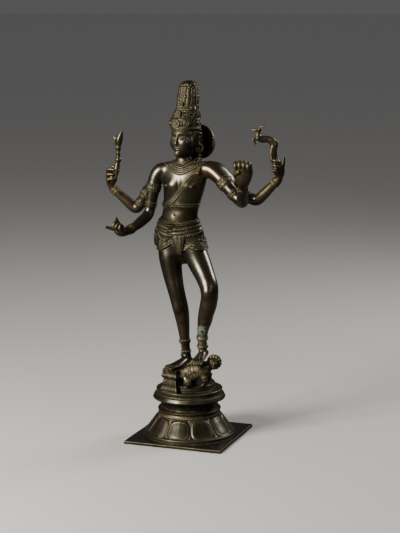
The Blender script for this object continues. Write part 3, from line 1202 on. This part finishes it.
def noise(tree, scale, detail, rough, warp, vector):
    return addNode(tree, "ShaderNodeTexNoise", Scale=scale, Detail=detail, Roughness=rough,
                   Distortion=warp, Vector=vector).outputs["Fac"]


def mixColour(tree, share, a, b):
    node = addNode(tree, "ShaderNodeMix", data_type="RGBA")
    for place, value in ((0, share), (6, a), (7, b)):
        feed(tree, node.inputs[place], (*value, 1) if isinstance(value, tuple) else value)
    return node.outputs[2]


def position(tree):
    return tree.nodes.new("ShaderNodeNewGeometry").outputs["Position"]


def wearGroup():
    tree, source, sink = groupTree("bronze wear", {"Scale": 1.0}, ("Wear", "Hollow", "Ornament", "Cloud", "Mottle"))
    times, plus, minus, most = maths(tree)
    ridge, swell, detail = (addNode(tree, "ShaderNodeAttribute", attribute_name=key).outputs["Fac"]
                            for key in ("ridge", "swell", "detail"))
    scaled = addNode(tree, "ShaderNodeVectorMath", operation="SCALE", Vector=position(tree),
                     Scale=source.outputs["Scale"]).outputs[0]
    mottle = noise(tree, 95, 5, 0.62, 0.4, scaled)
    edge = spread(tree, plus(times(ridge, 0.75), times(swell, 0.25)), 0.6, 0.86)
    low = mathNode(tree, "MINIMUM", ridge, plus(swell, 0.06))
    results = {"Wear": times(edge, spread(tree, mottle, 0.28, 0.62), True),
               "Hollow": minus(1, spread(tree, low, 0.2, 0.47), True),
               "Ornament": spread(tree, detail, 0.12, 0.7),
               "Cloud": noise(tree, 14, 4, 0.55, 0.8, scaled), "Mottle": mottle}
    for name, value in results.items():
        feed(tree, sink.inputs[name], value)
    return tree


def castGroup():
    tree, source, sink = groupTree("cast skin", {"Pits": 0.5, "Tooling": 0.2}, ("Height",))
    times, plus, minus, most = maths(tree)
    place = position(tree)
    tooled = times(noise(tree, 90, 2, 0.5, 0, place), source.outputs["Tooling"])
    pits = times(spread(tree, noise(tree, 900, 1, 0.5, 0, place), 0.68, 0.84), source.outputs["Pits"])
    height = minus(plus(times(noise(tree, 700, 3, 0.6, 0, place), 0.16), tooled), pits)
    feed(tree, sink.inputs["Height"], height)
    return tree


wearTree, castTree = wearGroup(), castGroup()


def boxMask(tree, place, mottle, centre, reach, soft):
    times, plus, minus, most = maths(tree)
    away = stepNode(tree, "ShaderNodeVectorMath", "SUBTRACT", place, centre).outputs[0]
    shrunk = stepNode(tree, "ShaderNodeVectorMath", "DIVIDE", away, reach).outputs[0]
    length = stepNode(tree, "ShaderNodeVectorMath", "LENGTH", shrunk).outputs["Value"]
    ragged = times(minus(mottle, 0.5), 1.6)
    return minus(1, spread(tree, plus(length, ragged), soft, 1.0))


bronzeTones = {
    "dark": (0.024, 0.0205, 0.0118), "brown": (0.047, 0.037, 0.0205), "red": (0.1, 0.05, 0.027),
    "olive": (0.042, 0.036, 0.018), "gold": (0.23, 0.19, 0.1), "soot": (0.007, 0.006, 0.004),
    "dust": (0.07, 0.059, 0.034), "verdigris": (0.13, 0.155, 0.12), "worn": (0.36, 0.33, 0.24),
    "tan": (0.125, 0.086, 0.04), "umber": (0.016, 0.0125, 0.007), "ochre": (0.11, 0.072, 0.03)}
patchEdge = {"verdigris": (0.46, 0.58), "ochre": (0.46, 0.62)}
finishOf = {"hollow": 0.8, "dust": 0.7, "metal": 0.86, "sheen": 0.5, "lacquer": 0.4, "bump": 0.3, "deep": 0.0004}


def bronze(name, ornament, wearShare, foot, places):
    material, tree = newMaterial(name)
    times, plus, minus, most = maths(tree)
    wear = addNode(tree, "ShaderNodeGroup", node_tree=wearTree).outputs
    cast = addNode(tree, "ShaderNodeGroup", node_tree=castTree).outputs
    mottle, hollow, adorned, place = wear["Mottle"], wear["Hollow"], wear["Ornament"], position(tree)

    def over(under, share, kind):
        return mixColour(tree, share, under, bronzeTones[kind])

    colour = over(bronzeTones["dark"], spread(tree, wear["Cloud"], 0.35, 0.68), "brown")
    colour = over(colour, times(adorned, ornament), "olive")
    masks = {}
    for kind, (x, y, z), reach, soft, share in places:
        centre = (x * mm, y * mm, (foot + z) * mm)
        mask = boxMask(tree, place, mottle, centre, [side * mm for side in reach], soft)
        mask = times(mask, times(spread(tree, mottle, *patchEdge.get(kind, (0.32, 0.56))), share))
        masks[kind] = most(masks[kind], mask) if kind in masks else mask
        colour = over(colour, mask, kind)
    colour = over(colour, times(hollow, finishOf["hollow"]), "soot")
    colour = over(colour, times(hollow, times(spread(tree, mottle, 0.5, 0.66), finishOf["dust"])), "dust")
    colour = over(colour, times(wear["Wear"], wearShare), "gold")

    dull, umber = times(hollow, 0.5), masks["umber"]
    for kind in patchEdge:  # corroded and dusty places aren't bare metal
        if kind in masks:
            dull = most(dull, masks[kind])
    rough = plus(plus(times(mottle, 0.2), 0.2), times(dull, 0.5))
    rough = plus(plus(rough, times(adorned, 0.18)), times(umber, 0.12))
    plain = times(minus(1, times(adorned, 0.85)), minus(1, umber))
    bumps = addNode(tree, "ShaderNodeBump", Strength=finishOf["bump"], Distance=finishOf["deep"],
                    Height=cast["Height"])
    shader = addNode(
        tree, "ShaderNodeBsdfPrincipled", Base_Color=colour, Metallic=minus(finishOf["metal"], dull, True),
        Roughness=rough, Specular_IOR_Level=minus(finishOf["sheen"], times(umber, 0.45)), Normal=bumps.outputs[0],
        Coat_Weight=times(plain, finishOf["lacquer"]), Coat_IOR=1.55, Coat_Roughness=0.26)
    addNode(tree, "ShaderNodeOutputMaterial", Surface=shader.outputs[0])
    return material


# Patches of the skin: kind, middle and reach in millimetres, softness, strength
figureBronze = bronze("figure bronze", 0.7, 0.42, poseFoot, [
    ("tan", (-114, 4, 300), (42, 40, 50), 0.4, 0.6), ("tan", (-84, -55, 246), (35, 40, 20), 0.4, 0.45),
    ("tan", (108, -72, 340), (26, 25, 30), 0.4, 0.55), ("tan", (124, 6, 305), (34, 30, 34), 0.4, 0.6),
    ("tan", (122, -3, 374), (34, 30, 36), 0.4, 0.45), ("tan", (26, -26, 32), (45, 30, 30), 0.3, 0.5),
    ("red", (34, 0, 322), (45, 50, 40), 0.3, 0.6), ("red", (40, -30, 132), (30, 40, 40), 0.3, 0.7),
    ("red", (-10, -4, 95), (25, 30, 50), 0.3, 0.5), ("red", (140, 4, 332), (20, 30, 22), 0.3, 0.5),
    ("umber", (0, 0, -8), (75, 75, 20), 0.4, 0.75), ("umber", (-12, -20, 263), (45, 30, 28), 0.6, 0.95),
    ("umber", (-27, -10, 180), (26, 30, 55), 0.5, 0.75), ("umber", (-8, -28, 43), (32, 45, 14), 0.5, 0.8),
    ("umber", (-5, 0, 60), (18, 18, 24), 0.6, 0.8), ("ochre", (20, -28, 28), (45, 28, 28), 0.6, 0.55),
    ("ochre", (-22, -34, 22), (16, 34, 26), 0.5, 0.35), ("ochre", (30, -22, 62), (16, 20, 16), 0.5, 0.5),
    ("worn", (-14, -6, 62), (7, 12, 16), 0.3, 0.75), ("worn", (27, -24, 78), (20, 20, 10), 0.2, 0.7),
    ("verdigris", (32, -34, 96), (20, 30, 24), 0.1, 0.85)])
pedestalBronze = bronze("pedestal bronze", 0.6, 0.26, 0, [
    ("red", (0, 0, 40), (90, 90, 10), 0.4, 0.35), ("umber", (0, 0, 53), (120, 120, 14), 0.7, 0.95),
    ("umber", (0, 0, 0), (200, 200, 10), 0.5, 0.7)])
pedestal.data.materials.append(pedestalBronze)
for piece in figurePieces:
    piece.data.materials.append(figureBronze)
    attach(piece, "root")
    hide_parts("figure")
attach(pedestal, "root")
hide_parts("lotus_pedestal")
print("pieces ready")


# Floor, light and camera

stageSize = {"floor": 120.0, "seen": (0.4, 0.39, 0.375), "mirrored": (0.06, 0.057, 0.051)}
floorMesh = bpy.data.meshes.new("floor")
corners = [(x * stageSize["floor"], y * stageSize["floor"], 0) for x, y in ((-1, -1), (1, -1), (1, 1), (-1, 1))]
floorMesh.from_pydata(corners, [], [(0, 1, 2, 3)])
floor = bpy.data.objects.new("floor", floorMesh)
bpy.context.scene.collection.objects.link(floor)
floorMaterial, floorTree = newMaterial("pale floor")
seen = addNode(floorTree, "ShaderNodeLightPath").outputs["Is Camera Ray"]  # the bronze mirrors a dimmer floor
floorTone = mixColour(floorTree, seen, stageSize["mirrored"], stageSize["seen"])
floorShader = addNode(floorTree, "ShaderNodeBsdfPrincipled", Base_Color=floorTone, Roughness=0.8)
addNode(floorTree, "ShaderNodeOutputMaterial", Surface=floorShader.outputs[0])
floorMesh.materials.append(floorMaterial)

lamps = {
    "key": {"place": (-0.76, -1.32, 0.9), "aim": (0, 0, 0.3), "size": 0.6, "power": 76, "tone": (1.0, 0.985, 0.9)},
    "fill": {"place": (-1.6, -0.9, 0.7), "aim": (0, 0, 0.25), "size": 0.9, "power": 1.5, "tone": (0.97, 0.98, 1.0)},
    "side": {"place": (1.3, -1.0, 0.8), "aim": (0, 0, 0.25), "size": 0.5, "power": 2, "tone": (1.0, 0.98, 0.93)},
    "rim": {"place": (0.95, 1.1, 1.15), "aim": (0, 0, 0.35), "size": 0.5, "power": 22, "tone": (1.0, 0.97, 0.92)},
}
for name, lamp in lamps.items():
    light = bpy.data.lights.new(name, "AREA")
    light.size = lamp["size"]
    light.energy = lamp["power"]
    light.color = lamp["tone"]
    holder = bpy.data.objects.new(name, light)
    holder.location = lamp["place"]
    holder.rotation_euler = (Vector(lamp["place"]) - Vector(lamp["aim"])).to_track_quat("Z", "Y").to_euler()
    bpy.context.scene.collection.objects.link(holder)

world = bpy.data.worlds.new("studio")
world.use_nodes = True
background = world.node_tree.nodes["Background"].inputs
worldLight = {"tone": (0.8, 0.8, 0.82, 1), "full": 0.3, "mirrored": 0.08, "seen": 0.12}  # seen: like the far floor
background["Color"].default_value = worldLight["tone"]
rays = world.node_tree.nodes.new("ShaderNodeLightPath").outputs
strength = worldLight["full"]
for ray, kind in (("Is Glossy Ray", "mirrored"), ("Is Camera Ray", "seen")):
    dimmed = mathNode(world.node_tree, "MULTIPLY", rays[ray], worldLight["full"] - worldLight[kind])
    strength = mathNode(world.node_tree, "SUBTRACT", strength, dimmed)
world.node_tree.links.new(strength, background["Strength"])
bpy.context.scene.world = world

view = {"turn": 19.84, "rise": 9.85, "distance": 2.253, "aim": (0.0153, 0.0055, 0.2623), "sensor": 36,
        "focal": 1500 / 533}
turn, rise = math.radians(view["turn"]), math.radians(view["rise"])
back = Vector((math.sin(turn) * math.cos(rise), -math.cos(turn) * math.cos(rise), math.sin(rise)))
camera = bpy.data.cameras.new("camera")
camera.sensor_width = view["sensor"]
camera.lens = view["sensor"] * view["focal"]
cameraHolder = bpy.data.objects.new("camera", camera)
cameraHolder.location = Vector(view["aim"]) + back * view["distance"]
cameraHolder.rotation_euler = back.to_track_quat("Z", "Y").to_euler()
bpy.context.scene.collection.objects.link(cameraHolder)
bpy.context.scene.camera = cameraHolder
